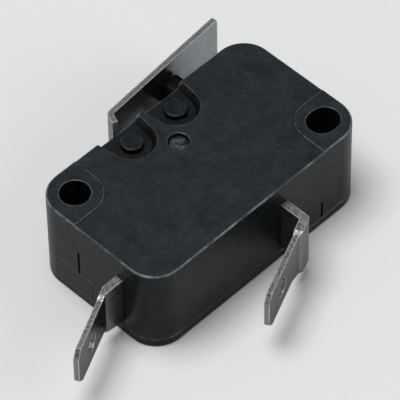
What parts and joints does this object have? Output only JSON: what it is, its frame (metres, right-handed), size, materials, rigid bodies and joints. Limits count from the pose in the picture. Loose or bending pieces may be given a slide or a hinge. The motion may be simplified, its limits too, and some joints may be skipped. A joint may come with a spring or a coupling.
{
  "type": "micro switch",
  "caption": "Flat black snap-action switch with a hinged sheet lever on one long side, two folded push-on terminals and two diagonal mounting holes.",
  "frame": {"origin": "axis of the round mounting hole, in the plane of the underside (the cover's outer face)", "axes": "+X along the body towards the slotted hole, +Y towards the lever, +Z through the body from cover to case"},
  "size_m": [0.0372, 0.0273, 0.0103],
  "materials": {
    "case": "moulded, fine grained",
    "lever": "bright rolled spring steel",
    "plunger": "moulded, smooth",
    "terminals": "tin-plated",
    "support": "rolled, bare",
    "blade": "rolled spring copper",
    "contacts": "silver alloy, turned",
    "spring": "rolled spring steel"
  },
  "bodies": {
    "housing": {"case": "case", "cover": "case", "common_terminal": "terminals", "fixed_terminal": "terminals", "blade_support": "support", "support_rivet": "support", "fixed_contact": "contacts", "snap_spring": "spring"},
    "lever": {"lever": "lever"},
    "plunger": {"plunger": "plunger"},
    "blade": {"moving_blade": "blade", "moving_contact": "contacts"}
  },
  "joints": [
    {"name": "lever_hinge", "type": "hinge", "parent": "housing", "child": "lever", "pos_m": [0.0082, 0.00088, 0.00375], "axis": [0, 0, -1], "range_deg": [0, 9], "stiffness_Nm_per_rad": 0.012, "springref_deg": -20.05},
    {"name": "plunger_slide", "type": "slide", "parent": "housing", "child": "plunger", "axis": [0, -1, 0], "range_m": [0, 0.00158]},
    {"name": "blade_hinge", "type": "hinge", "parent": "housing", "child": "blade", "pos_m": [0.005, -0.00285, 0.00515], "axis": [0, 0, -1], "range_deg": [0, 6.83], "deforming": ["snap_spring"]}
  ],
  "couplings": [
    {"joint": "plunger_slide", "follows": "lever_hinge", "m_per_rad": 0.01006},
    {"joint": "blade_hinge", "follows": "lever_hinge", "ratio": 0.75847}
  ]
}
